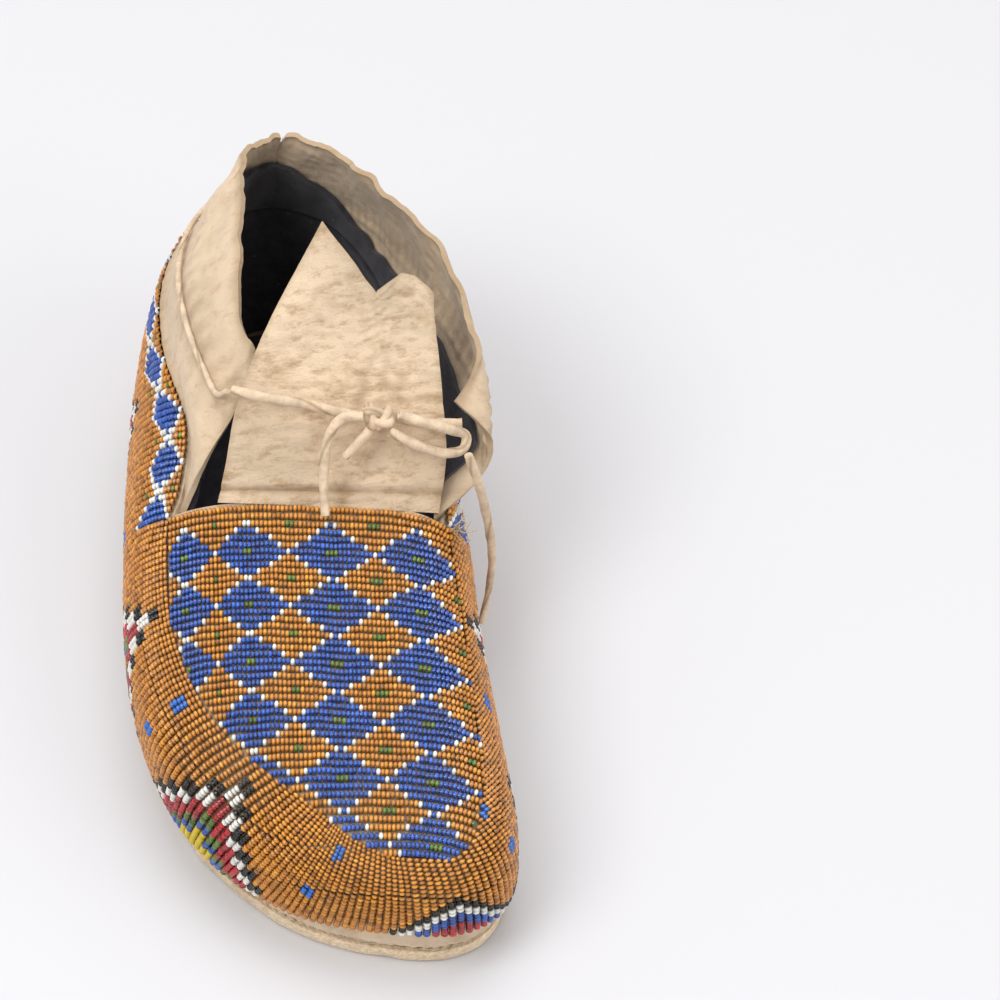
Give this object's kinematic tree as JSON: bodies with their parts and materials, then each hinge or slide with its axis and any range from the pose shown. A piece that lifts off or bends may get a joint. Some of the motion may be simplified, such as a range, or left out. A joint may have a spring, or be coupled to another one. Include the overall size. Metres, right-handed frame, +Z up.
{
  "type": "moccasin",
  "caption": "Right-foot hard-soled hide moccasin, fully beaded over the vamp and sides, with folding ankle cuffs, a forked tongue and a tied thong.",
  "frame": {"origin": "bottom centre of the box: on the floor under the sole, midway between toe and heel and between the two sides", "axes": "-Y towards the toe, +Y towards the heel, -X the outer side of the foot, +X the inner side, +Z up"},
  "size_m": [0.1113, 0.2584, 0.1159],
  "materials": {
    "rawhide": "dry, scraped and slightly shiny",
    "buckskin": "matt brain-tanned suede",
    "thong_hide": "matt suede, rolled",
    "black_felt": "matt wool felt",
    "lane_beads": "glossy seed beads, mostly amber",
    "panel_beads": "glossy seed beads, blue, amber and white"
  },
  "bodies": {
    "shoe": {"rawhide_sole": "rawhide", "upper_hide": "buckskin", "felt_insole": "black_felt", "felt_lining": "black_felt", "felt_ankle_band": "black_felt", "vamp_beadwork": "panel_beads", "lateral_lower_bead_lane": "lane_beads", "lateral_middle_bead_lane": "lane_beads", "lateral_upper_bead_lane": "lane_beads", "medial_lower_bead_lane": "lane_beads", "medial_middle_bead_lane": "lane_beads", "medial_upper_bead_lane": "lane_beads", "lateral_ankle_flap": "buckskin", "medial_ankle_flap": "buckskin", "tongue_base": "buckskin", "thong_outer_wrap": "thong_hide", "thong_inner_wrap": "thong_hide", "thong_outer_span": "thong_hide", "thong_inner_span": "thong_hide", "thong_knot": "thong_hide", "thong_bow_loop": "thong_hide", "thong_long_tail": "thong_hide", "thong_short_tail": "thong_hide", "thong_hanging_tail": "thong_hide"},
    "tongue_fold": {"tongue_tip": "buckskin"},
    "outer_cuff": {"lateral_cuff": "buckskin"},
    "inner_cuff": {"medial_cuff": "buckskin"}
  },
  "joints": [
    {"name": "tongue_tip_fold", "type": "hinge", "parent": "shoe", "child": "tongue_fold", "pos_m": [0.01269, 0.02035, 0.0832], "axis": [0.9869, -0.1603, -0.02], "range_deg": [-8, 110]},
    {"name": "outer_cuff_fold", "type": "hinge", "parent": "shoe", "child": "outer_cuff", "pos_m": [-0.02431, 0.06195, 0.074], "axis": [0.03, -0.9996, 0], "range_deg": [0, 62]},
    {"name": "inner_cuff_fold", "type": "hinge", "parent": "shoe", "child": "inner_cuff", "pos_m": [0.05069, 0.04396, 0.074], "axis": [-0.2201, 0.9755, 0], "range_deg": [0, 62]}
  ]
}
